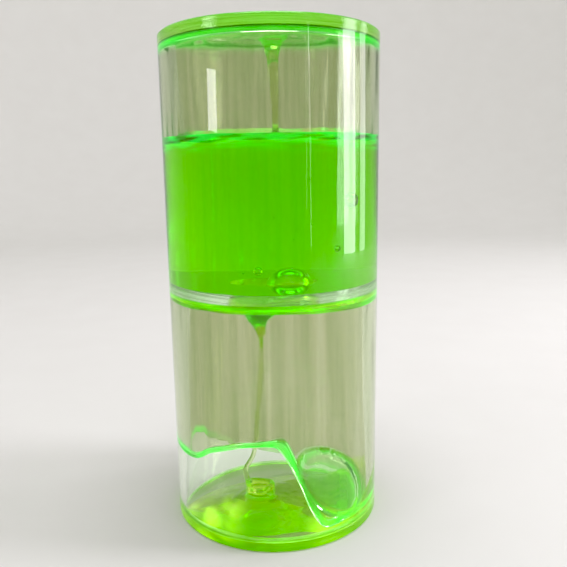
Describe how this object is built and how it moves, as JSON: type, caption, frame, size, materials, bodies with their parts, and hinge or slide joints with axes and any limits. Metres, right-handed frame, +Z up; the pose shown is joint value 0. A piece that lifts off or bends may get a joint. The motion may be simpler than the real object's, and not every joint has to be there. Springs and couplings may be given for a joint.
{
  "type": "liquid motion goo tube",
  "caption": "Sealed clear acrylic cylinder, two chambers joined by a round flow hole, with thick green goo draining from the upper one to the lower.",
  "frame": {"origin": "centre of the round face that the tube stands on", "axes": "+Z up the tube, -Y towards the front, +X to the right"},
  "size_m": [0.064, 0.064, 0.144],
  "materials": {
    "clear_acrylic": "polished clear, lathe-turned rims",
    "acrylic_cement": "clear solvent cement",
    "green_goo": "wet translucent fluorescent green",
    "goo_film": "thin wet translucent green film"
  },
  "bodies": {
    "root": {"bottom_cement_ring": "acrylic_cement", "bottom_disc": "clear_acrylic", "divider_cement_ring": "acrylic_cement", "divider_disc": "clear_acrylic", "goo_ceiling_film": "goo_film", "goo_coil": "green_goo", "goo_curtain": "goo_film", "goo_divider_film": "green_goo", "goo_drip_upper": "green_goo", "goo_funnel": "green_goo", "goo_pool_lower": "green_goo", "goo_pool_upper": "green_goo", "goo_strand_lower": "green_goo", "goo_wall_film": "goo_film", "outer_tube": "clear_acrylic", "top_cement_ring": "acrylic_cement", "top_disc": "clear_acrylic"}
  },
  "joints": []
}
